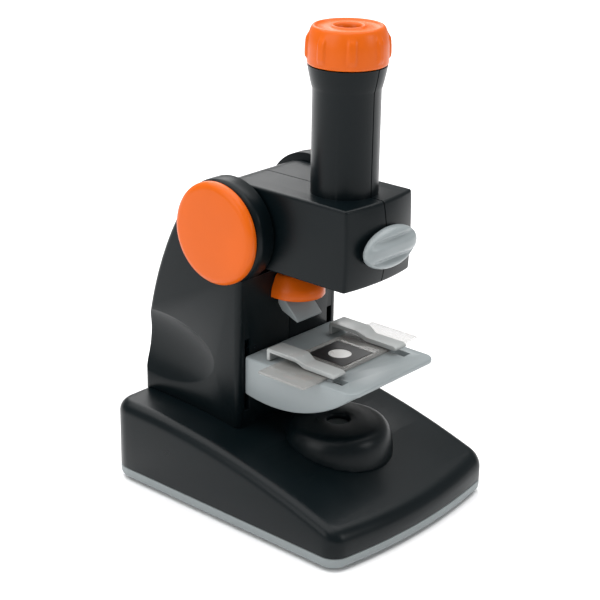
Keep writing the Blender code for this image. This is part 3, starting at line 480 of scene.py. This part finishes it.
def screw_piece(name, node, head, tip, head_radius, shank_radius, centre, axis, body="stand"):
    """Pan-head screw with a cross recess; head and tip are levels along the axis."""
    way = 1 if tip > head else -1
    seat = 1.6
    length = abs(tip - head)
    profile = [(0, 0), (head_radius * 0.55, 0.02), (head_radius * 0.85, 0.2), (head_radius, 0.55),
               (head_radius, seat), (shank_radius, seat), (shank_radius, length - 1.0), (0, length)]
    obj = turned(name, profile, (0, 0), "Z", 40)
    arm = head_radius * 0.62
    combine(obj, [box("a", (-arm, -0.32, -1), (arm, 0.32, 1.0)),
                  box("b", (-0.32, -arm, -1), (0.32, arm, 1.0))])
    for vert in obj.data.vertices:
        u, v, w = vert.co / MM
        level = head + way * w
        across, along = centre[0] + u, centre[1] + v
        place = (level, across, along) if axis == "X" else (across, along, level)
        vert.co = Vector(place) * MM
    fix_normals(obj)
    return finish(obj, STEEL, body, [node])


def fix_normals(obj):
    bm = bmesh.new()
    bm.from_mesh(obj.data)
    bmesh.ops.recalc_face_normals(bm, faces=bm.faces)
    bm.to_mesh(obj.data)
    bm.free()


def base_fittings():
    for k, at in enumerate(BASE_SCREWS):
        screw_piece(f"case_screw_{k + 1}", f"base_screw_{k + 1}", 1.3, 14.0, 2.7, 1.3, at, "Z")
    for k, at in enumerate(FEET):
        profile = [(0, 0), (3.9, 0), (4.6, 0.15), (4.95, 0.55), (5.0, 1.0), (5.0, 2.0), (0, 2.0)]
        foot = turned(f"rubber_foot_{k + 1}", profile, at, "Z", 48)
        finish(foot, RUBBER, "stand", [f"foot_{k + 1}"])
    door = box("battery_lid", (-17.9, 1.5, 1.0), (17.9, 64.0, 2.5))
    cuts = [rod("a", DOOR_SCREW, 1.6, 0, 5), rod("b", DOOR_SCREW, 2.9, 0, 2.0)]
    cuts += [box("c", (-9, 8 + 2.2 * k, 0), (9, 9.1 + 2.2 * k, 1.45)) for k in range(5)]
    combine(door, cuts)
    bevel(door, 0.2, 40)
    finish(door, TRAY, "stand", ["battery_door"])
    screw_piece("battery_lid_screw", "battery_door_screw", 1.1, 8.0, 2.5, 1.25, DOOR_SCREW, "Z")
    tee = [(47.2, -7), (49.0, -7), (49.0, -2.3), (51.5, -2.3), (51.5, 2.3), (49.0, 2.3), (49.0, 7), (47.2, 7)]
    switch = prism("light_switch", tee, 11.5, 14.5)
    combine(switch, [box("a", (51.0, -1.75 + 1.3 * k, 11), (52, -1.15 + 1.3 * k, 15)) for k in range(3)])
    bevel(switch, 0.15, 40)
    finish(switch, GREY, "switch", ["lamp_switch"])
    profile = [(0, 33.0), (8.6, 33.0), (8.6, 34.6), (7.6, 35.1), (5.0, 35.3), (0, 35.35)]
    lens = turned("light_diffuser", profile, (0, OPTIC_Y), "Z", 64)
    finish(lens, FROST, "stand", ["lamp_diffuser"])


# ------------------------------------------------------------ pillar

FOOT_STEPS = (0.3, 0.7, 1.2, 1.8, 2.5, 3.3, 4.2, 5.2, 8.0, 12.0, 17.0, 22.0, 28.0, 34.0, 40.0, 46.0, 50.0)


def pillar_outline(inset):
    ear = EAR_RADIUS - inset
    front = PILLAR_FRONT_Y + inset
    rear = PILLAR_REAR_Y - inset
    drop = FOCUS_Z - PILLAR_BEND_Z
    reach = PILLAR_REAR_Y - FOCUS_Y
    back = (reach ** 2 + drop ** 2 - EAR_RADIUS ** 2) / (2 * (reach - EAR_RADIUS))
    centre = (PILLAR_REAR_Y - back, PILLAR_BEND_Z)
    touch = math.degrees(math.atan2(drop, FOCUS_Y - centre[0]))
    begin = 360 - math.degrees(math.acos((front - FOCUS_Y) / ear))
    points = arc((FOCUS_Y, FOCUS_Z), ear, begin, touch, 54)
    points += arc(centre, back - inset, touch, 0, 26)[1:] + [(rear, base_surface(rear) + GAP * 0.6)]
    points += [(rear - step, base_surface(rear - step) + GAP * 0.6) for step in FOOT_STEPS]
    return points + [(front, base_surface(front) + GAP * 0.6)]


def saddle_outline():
    rear_z = SADDLE_REAR_Z
    start = -math.degrees(math.acos((rear_z - FOCUS_Z) / SADDLE_RADIUS)) + 90
    low = math.degrees(math.asin((102.4 - FOCUS_Z) / SADDLE_RADIUS))
    points = arc((FOCUS_Y, FOCUS_Z), SADDLE_RADIUS, -180 - low, start, 40)
    return points + [(80, rear_z), (80, 160), (-20, 160), (-20, 102.4)]


def cavity_outline():
    rim = SADDLE_RADIUS + WALL
    front = PILLAR_FRONT_Y + WALL
    rear = PILLAR_REAR_Y - WALL - 0.8
    start = 180 + math.degrees(math.acos((FOCUS_Y - front) / rim))
    points = arc((FOCUS_Y, FOCUS_Z), rim, start, 318, 12)
    return points + [(48.0, 101.0), (54.0, 88.0), (59.0, 72.0), (rear, 50.0), (rear, 20.0), (front, 20.0)]


def scoop(side):
    bm = bmesh.new()
    bmesh.ops.create_uvsphere(bm, u_segments=96, v_segments=48, radius=1.0)
    for vert in bm.verts:
        x, y, z = vert.co
        vert.co = (side * (PILLAR_HALF + 8.5) + z * 12.5, 55.1 + y * 45.0, 60.5 - x * 21.4)
    return raw_object("scoop", bm)


def pillar_half(side):
    tag = "right" if side > 0 else "left"
    radius = PILLAR_EDGE_ROUND
    stations = [(GAP / 2, 0.0), (PILLAR_HALF - radius, 0.0)]
    for k in range(1, 9):
        angle = math.pi / 2 * k / 8
        stations.append((PILLAR_HALF - radius * (1 - math.sin(angle)), radius * (1 - math.cos(angle))))
    half = loft(f"pillar_half_{tag}", [[(side * x, y, z) for y, z in pillar_outline(i)] for x, i in stations])
    low, high = sorted((side * 25.1, side * 28.1))
    near, far = sorted((-side, side * 4.6))
    full = cavity_outline()
    narrow = [(10.5 + (y - 10.5) * 0.2, min(z, 93.0)) for y, z in full]
    cavity = [[(side * x, y, z) for y, z in outline]
              for x, outline in ((-1, full), (24.8, full), (25.8, narrow), (PILLAR_HALF - WALL, narrow))]
    cuts = [prism("a", saddle_outline(), -EAR_INNER_X, EAR_INNER_X, "X"), loft("b", cavity),
            box("c", (low, 0, 42.0), (high, 12, 74.6)), box("d", (near, 10.8, 90), (far, 15.9, 106)),
            scoop(side)]
    if side > 0:
        cuts += [rod("e", at, 3.2, 24.0, 45, "X", 40) for at in PILLAR_SCREWS]
    combine(half, cuts)
    bevel(half, 0.3, 38)
    return finish(half, BLACK, "stand", [f"pillar_{tag}"], 40)


# ------------------------------------------------------------ head

def head_outline(x, inset):
    top, bottom = HEAD_TOP_Z - inset, HEAD_BOTTOM_Z + inset
    across = 1 - (x / HEAD_HALF) ** 2
    mid = (top + bottom) / 2
    points = []
    for k in range(25):
        z = bottom + (top - bottom) * k / 24
        upright = 1 - ((z - mid) / ((top - bottom) / 2)) ** 2
        bulge = 2.1 * across + upright * (0.5 + 1.6 * across)
        points.append((HEAD_FRONT_Y - bulge + inset, z))
    radius = KNUCKLE_RADIUS - inset
    low = -math.degrees(math.acos((bottom - FOCUS_Z) / radius)) + 90
    return points + arc((FOCUS_Y, FOCUS_Z), radius, 90, -180 - low, 60)


def head_block(name, inset, reach, side, start):
    count = 18
    stations = [start] + [start + (reach - start) * k / count for k in range(1, count + 1)]
    return loft(name, [[(side * x, y, z) for y, z in head_outline(x, inset)] for x in stations])


def head_half(side):
    tag = "right" if side > 0 else "left"
    half = head_block(f"head_half_{tag}", 0, HEAD_HALF, side, -18.3)
    bevel(half, 1.1, 50, 4)
    tube = [(0, HEAD_TOP_Z - 1.5), (TUBE_RADIUS, HEAD_TOP_Z - 1.5), (TUBE_RADIUS, FLARE_Z)]
    for k in range(1, 13):
        t = k / 12
        tube.append((TUBE_RADIUS + (FLARE_RADIUS - TUBE_RADIUS) * t ** 0.8,
                     FLARE_Z + (TUBE_TOP_Z - FLARE_Z) * t))
    tube += [(NECK_RADIUS, TUBE_TOP_Z), (NECK_RADIUS, NECK_TOP_Z), (0, NECK_TOP_Z)]
    reach = (-60, SEAM) if side > 0 else (-SEAM, 60)
    cuts = [head_block("a", WALL, HEAD_HALF - WALL, side, -19.3),
            rod("b", (0, OPTIC_Y), TUBE_BORE, 130, 210, "Z", 96, 0.5),
            rod("c", (0, DRUM_Z), 4.3, -60, -36, "Y", 40, 0.5),
            rod("d", (0, OPTIC_Y), 7.0, 100, 112, "Z", 64, 0.5),
            box("e", (-4.6, 10.8, 96), (4.6, 15.9, 109))]
    if side > 0:
        cuts += [rod("f", at, 3.0, 18.6, 30, "X", 40) for at in HEAD_SCREWS[:2]]
    cuts.append(box("g", (reach[0], -60, 90), (reach[1], 60, 220)))
    combine(half, cuts, [turned("t", tube, (0, OPTIC_Y), "Z", 128)])
    bevel(half, 0.12, 50, 1)
    return finish(half, BLACK, "stand", [f"head_{tag}"], 40)


def eyepiece():
    """Orange turning cap with eight soft grip ribs."""
    outer = [(192.9, 15.7), (193.15, 16.1), (193.6, 16.3), (195.0, 16.35), (196.0, 16.4), (198.0, 16.4),
             (200.0, 16.35), (202.0, 16.2), (203.4, 15.95), (204.6, 15.7), (205.7, 15.4), (206.6, 15.1),
             (207.3, 14.75), (207.8, 14.4), (208.1, 14.0), (208.2, 13.6), (208.1, 13.2), (207.8, 12.9),
             (207.45, 12.6), (207.3, 12.1), (207.3, 7.6), (207.4, 7.25), (207.75, 6.95), (208.1, 6.6),
             (208.15, 6.25), (207.95, 5.85), (207.5, 5.4), (206.8, 5.05), (205.9, 4.9), (203.2, 4.9),
             (203.2, 9.3), (199.5, 9.3), (199.5, NECK_RADIUS + GAP),
             (192.9, NECK_RADIUS + GAP)]
    fine = []
    for (z0, r0), (z1, r1) in zip(outer, outer[1:]):
        parts = max(1, int(math.hypot(z1 - z0, r1 - r0) / 0.7)) if z0 < 207 and r0 > 14.5 else 1
        fine += [(z0 + (z1 - z0) * k / parts, r0 + (r1 - r0) * k / parts) for k in range(parts)]
    fine.append(outer[-1])

    def step(t):
        t = max(0.0, min(1.0, t))
        return t * t * (3 - 2 * t)
    rings = []
    for z, radius in fine:
        rise = step((z - 194.9) / 1.4) * step((205.6 - z) / 2.2) if radius > 15.0 else 0.0
        ring = []
        for s in range(256):
            angle = 2 * math.pi * s / 256
            off = abs((math.degrees(angle) + 22.5) % 45 - 22.5)
            rib = 0.8 * rise * step((7.4 - off) / 3.0)
            ring.append(((radius + rib) * math.cos(angle), OPTIC_Y + (radius + rib) * math.sin(angle), z))
        rings.append(ring)
    cap = loft("eyepiece_grip", rings, True)
    finish(cap, ORANGE, "eyepiece", ["eyepiece_cap"], 50)
    glass = turned("eyepiece_lens", [(0, 200.0), (3.0, 200.05), (6.0, 200.25), (9.0, 200.9), (9.0, 202.0),
                                     (6.0, 202.65), (3.0, 202.85), (0, 202.9)], (0, OPTIC_Y), "Z", 64)
    finish(glass, LENS, "eyepiece", ["eye_lens"])


def selector():
    """Oval pinch knob with a middle rib between two scooped flutes."""
    half_x, half_z, rise, back = 16.1, 8.6, 5.4, -43.6
    rings = []
    for scale, depth in ((0.94, 0.0), (0.985, 0.25), (1.0, 0.8)):
        rings.append([(half_x * scale * math.cos(2 * math.pi * s / 128), back - depth,
                       DRUM_Z + half_z * scale * math.sin(2 * math.pi * s / 128)) for s in range(128)])
    count = 44
    for k in range(count):
        t = k / (count - 1)
        scale = (1 - t) * 0.985 + 0.015 if t > 0 else 1.0
        rho = scale
        top = 1.6 + (rise - 1.6) * (1 - rho ** 3.4) ** 0.5
        ring = []
        for s in range(128):
            angle = 2 * math.pi * s / 128
            x, z = half_x * scale * math.cos(angle), half_z * scale * math.sin(angle)
            fade = max(0.0, 1 - (x / half_x) ** 2) ** 0.7
            groove = 1.8 * fade * math.exp(-((abs(z) - 4.1) / 1.5) ** 2) * min(1.0, (1 - rho) * 7)
            ring.append((x, back - top + groove, DRUM_Z + z))
        rings.append(ring)
    knob = loft("selector_grip", rings)
    finish(knob, GREY, "selector", ["selector_knob"], 60)


def focus_knobs():
    for side in (-1, 1):
        tag = "right" if side > 0 else "left"
        profile = [(0, 32.3), (KNOB_RADIUS - 1.2, 32.3), (KNOB_RADIUS - 0.4, 32.5), (KNOB_RADIUS, 33.0),
                   (KNOB_RADIUS, 33.8)]
        for k in range(1, 13):
            angle = math.pi / 2 * k / 12
            profile.append((KNOB_RADIUS - 3.6 * (1 - math.cos(angle)), 33.8 + 2.8 * math.sin(angle)))
        profile += [(16.0, 36.75), (10.0, KNOB_FACE_X), (0, KNOB_FACE_X)]
        knob = turned(f"focus_disc_{tag}", [(r, side * x) for r, x in profile], (FOCUS_Y, FOCUS_Z), "X", 160)
        finish(knob, ORANGE, "focus", [f"focus_knob_{tag}"], 40)


# ------------------------------------------------------------ stage

def belly(y):
    return BELLY_Z - math.sqrt(BELLY_RADIUS ** 2 - (y - BELLY_Y) ** 2)


def stage_ring(inset, height):
    corner = 5.0
    centre = (STAGE_HALF - corner, STAGE_FRONT_Y + corner)
    right = arc(centre, corner - inset, -90, 0, 12)
    right += [(STAGE_HALF - inset, centre[1] + (STAGE_REAR_Y - centre[1]) * k / 28) for k in range(1, 29)]
    points = right + [(-x, y) for x, y in reversed(right)]
    return [(x, y, height(y) if callable(height) else height) for x, y in points]


def stage():
    bm = bmesh.new()
    rings = [stage_ring(0.7, lambda y: min(belly(y), 64.85)),
             stage_ring(0.2, lambda y: min(belly(y) + 0.2, 65.0)),
             stage_ring(0, lambda y: min(belly(y) + 0.7, 65.4)), stage_ring(0, STAGE_TOP_Z - 0.9),
             stage_ring(0.1, STAGE_TOP_Z - 0.5), stage_ring(0.35, STAGE_TOP_Z - 0.18),
             stage_ring(0.9, STAGE_TOP_Z)]
    loops = [[bm.verts.new(p) for p in ring] for ring in rings]
    for lower, upper in zip(loops, loops[1:]):
        skin(bm, lower, upper)
    roof_faces(bm, loops[0])
    bm.faces.new(loops[-1])
    obj = raw_object("stage_plate", bm)
    cuts = [box("a", (-25.8, -44.0, 40), (25.8, 5.8, STAGE_TOP_Z - STAGE_PLATE)),
            rod("b", (0, OPTIC_Y), 8.5, 55, 70, "Z", 72)]
    for side in (-1, 1):
        low, high = sorted((side * 18.3, side * 22.8))
        cuts.append(box("c", (low, -40.6, 55), (high, -32.2, 75)))
    combine(obj, cuts)
    bevel(obj, 0.25, 40)
    finish(obj, GREY, "stage", ["stage"])


CLIP = [(-1.2, 67.4), (-1.2, 72.1), (-1.45, 72.65), (-2.0, 72.9), (-16.0, 72.9), (-17.0, 72.75),
        (-18.2, 72.25), (-20.0, 71.4), (-20.8, 71.05), (-21.8, 70.9), (-36.0, 70.9), (-37.4, 70.2),
        (-37.6, 69.4), (-36.8, 68.8), (-22.0, 68.8), (-20.8, 69.05), (-19.6, 69.6), (-17.4, 70.8),
        (-16.2, 71.1), (-3.0, 71.1), (-3.0, 67.4)]
CLIP_X = 20.2
CLIP_REAR_HALF = 4.8
CLIP_TIP_HALF = 3.7
MASK_HALF = 9.7
MASK_WINDOW = 5.0


def clips_and_slide():
    for side in (-1, 1):
        tag = "right" if side > 0 else "left"
        low, high = sorted((side * (CLIP_X - CLIP_REAR_HALF), side * (CLIP_X + CLIP_REAR_HALF)))
        clip = prism(f"clip_{tag}", CLIP, low, high, "X")
        centre_x = side * CLIP_X * MM
        for vertex in clip.data.vertices:
            fade = min(1.0, max(0.0, (-16.0 * MM - vertex.co.y) / (5.0 * MM)))
            narrow = 1 + fade * (CLIP_TIP_HALF / CLIP_REAR_HALF - 1)
            vertex.co.x = centre_x + (vertex.co.x - centre_x) * narrow
        bevel(clip, 0.55, 40, 4)
        finish(clip, CLIP_GREY, f"clip_{tag}", [f"stage_clip_{tag}"])
    low, high = span("specimen_slide")
    plate = box("clear_slide_plate", low, high)
    centre = (0, OPTIC_Y)
    pocket = MASK_HALF + GAP
    combine(plate, [box("a", (-pocket, OPTIC_Y - pocket, low.z + 0.5), (pocket, OPTIC_Y + pocket, 75))])
    bevel(plate, 0.12, 40)
    finish(plate, SLIDE, "slide", ["specimen_slide"])
    mask_low, mask_high = span("specimen_mask")
    mask = box("slide_mask_frame", mask_low, mask_high)
    combine(mask, [rod("a", centre, MASK_WINDOW, 60, 80, "Z", 64)])
    bevel(mask, 0.06, 40, 1)
    finish(mask, INK, "slide", ["specimen_mask"])
    film_top = mask_low.z - 0.03
    film = turned("slide_window_film", [(0, film_top - 0.17), (5.3, film_top - 0.17), (5.5, film_top - 0.12),
                                        (5.5, film_top - 0.05), (5.42, film_top), (5.1, film_top),
                                        (4.9, film_top - 0.03), (0, film_top - 0.03)], centre, "Z", 96)
    finish(film, PAPER, "slide", ())


# ------------------------------------------------------------ top lamp

def visor_ring(half, front_y, z, rear_y):
    turn_y = rear_y - 3.5
    points = [(half, rear_y)]
    for k in range(49):
        angle = math.pi * k / 48
        points.append((half * math.cos(angle), turn_y - (turn_y - front_y) * math.sin(angle)))
    points.append((-half, rear_y))
    return [(x, y, z) for x, y in points]


def top_lamp():
    rear = PILLAR_FRONT_Y - GAP
    outer = [(7.4, 0.6, 99.9), (8.2, -0.4, 99.75), (8.9, -1.5, 99.3), (9.4, -2.3, 98.7), (10.2, -4.0, 97.1),
             (11.0, -5.7, 95.4), (11.45, -6.7, 94.4), (11.75, -7.3, 93.6), (12.0, -7.8, 92.6),
             (12.15, -8.05, 91.4), (12.2, -8.1, 89.95), (12.05, -7.95, 89.7)]
    inner = [(10.9, -6.8, 89.7), (10.75, -6.6, 90.0), (10.6, -6.4, 92.3), (9.4, -4.0, 95.0),
             (7.6, -0.8, 97.6)]
    rings = [visor_ring(half, front, z, rear) for half, front, z in outer]
    rings += [visor_ring(half, front, z, rear - 1.3) for half, front, z in inner]
    hood = loft("light_hood", rings)
    combine(hood, [box("a", (-8.2, 4.0, 80), (8.2, 12, 91.9))])
    finish(hood, ORANGE, "stand", ["top_lamp_hood"], 45)
    profile = [(rear, 86.0), (rear, 91.6), (7.2, 91.6), (-3.5, 80.6), (-3.5, 79.8), (-2.9, 79.6), (5.6, 82.9)]
    shroud = prism("light_shroud", profile, -7.9, 7.9, "X")
    bevel(shroud, 1.9, 50, 6)
    pocket = [(6.7, 70.0), (6.7, 89.4), (5.9, 88.8), (-1.6, 81.1), (-1.6, 70.0)]
    combine(shroud, [prism("a", pocket, -6.6, 6.6, "X")])
    finish(shroud, GREY, "stand", ["top_lamp_shroud"], 40)


# ------------------------------------------------------------ build

base_shell()
base_tray()
lamp_dome()
base_fittings()
for half_side in (-1, 1):
    pillar_half(half_side)
    head_half(half_side)
for number, spot in enumerate(PILLAR_SCREWS):
    screw_piece(f"column_screw_{number + 1}", f"pillar_screw_{number + 1}", 26.0, -9.0, 2.8, 1.3, spot, "X")
for number, spot in enumerate(HEAD_SCREWS[:2]):
    screw_piece(f"casing_screw_{number + 1}", f"head_screw_{number + 1}", 20.5, -8.5, 2.6, 1.2, spot, "X")
eyepiece()
selector()
focus_knobs()
stage()
clips_and_slide()
top_lamp()

CARRIED = {
    "black_plastic": DARK, "orange_plastic": ORANGE, "grey_plastic": GREY, "tray_plastic": TRAY,
    "white_plastic": WHITE, "rubber_foot": RUBBER, "steel": STEEL, "contact_metal": CONTACT,
    "cell_jacket": CELL, "clear_lens": LENS, "clear_slide": SLIDE, "mask_ink": INK,
    "circuit_board": BOARD, "led_epoxy": LED}
for part in frame["record"]["subparts"]:
    node = frame["nodes"][part["node"]]
    look = SHAFT if part["node"] == "focus_shaft" else CARRIED[part["material_slot"]]
    for holder in node.material_slots:
        holder.material = look


# ------------------------------------------------------------ floor, light and camera

def floor():
    bm = bmesh.new()
    bmesh.ops.create_grid(bm, x_segments=2, y_segments=2, size=6000)
    obj = raw_object("floor", bm)
    mat = plastic("floor_sheet", (0.93, 0.93, 0.935), 0.55, 300, 0.02, 0.03, 0.004, 0.25)
    obj.data.materials.append(mat)
    obj.location.z = -0.0003


def area_light(name, place, target, size, power, colour=(1, 1, 1), size_y=None):
    data = bpy.data.lights.new(name, "AREA")
    data.shape = "RECTANGLE"
    data.size = size
    data.size_y = size_y or size
    data.energy = power
    data.color = colour
    obj = bpy.data.objects.new(name, data)
    obj.location = place
    obj.rotation_euler = (Vector(target) - Vector(place)).to_track_quat("-Z", "Y").to_euler()
    bpy.context.scene.collection.objects.link(obj)


def studio():
    world = bpy.data.worlds.new("studio")
    world.use_nodes = True
    world.node_tree.nodes["Background"].inputs["Color"].default_value = (1, 1, 1, 1)
    world.node_tree.nodes["Background"].inputs["Strength"].default_value = 0.38
    bpy.context.scene.world = world
    area_light("overhead", (0.2, 0.4, 1.6), (0.2, 0.4, 0), 2.6, 66)
    area_light("left_panel", (-1.3, 0.25, 0.75), (0, 0, 0.1), 0.9, 7)
    area_light("front_panel", (0.35, -1.1, 0.55), (0, 0, 0.08), 0.35, 2.2)
    area_light("rim", (0.9, 1.2, 0.9), (0, 0, 0.1), 0.8, 5)


CAMERA_PLACE = Vector((-0.48408, -0.41655, 0.33505))
CAMERA_BACK = Vector((-0.69228, -0.62377, 0.36285))
CAMERA_ROLL = math.radians(0.535)
CAMERA_LENS = 96.39


def camera():
    data = bpy.data.cameras.new("camera")
    data.sensor_width = 36.0
    data.lens = CAMERA_LENS
    data.shift_x = 0.0502
    data.shift_y = 0.0018
    data.clip_end = 50
    obj = bpy.data.objects.new("camera", data)
    back = CAMERA_BACK.normalized()
    right = Vector((0, 0, 1)).cross(back).normalized()
    up = back.cross(right)
    turned_right = right * math.cos(CAMERA_ROLL) + up * math.sin(CAMERA_ROLL)
    turned_up = up * math.cos(CAMERA_ROLL) - right * math.sin(CAMERA_ROLL)
    matrix = obj.matrix_world.copy()
    for row in range(3):
        matrix[row][0], matrix[row][1], matrix[row][2] = turned_right[row], turned_up[row], back[row]
        matrix[row][3] = CAMERA_PLACE[row]
    obj.matrix_world = matrix
    bpy.context.scene.collection.objects.link(obj)
    bpy.context.scene.camera = obj


floor()
studio()
camera()
bpy.context.scene.view_settings.view_transform = "Standard"
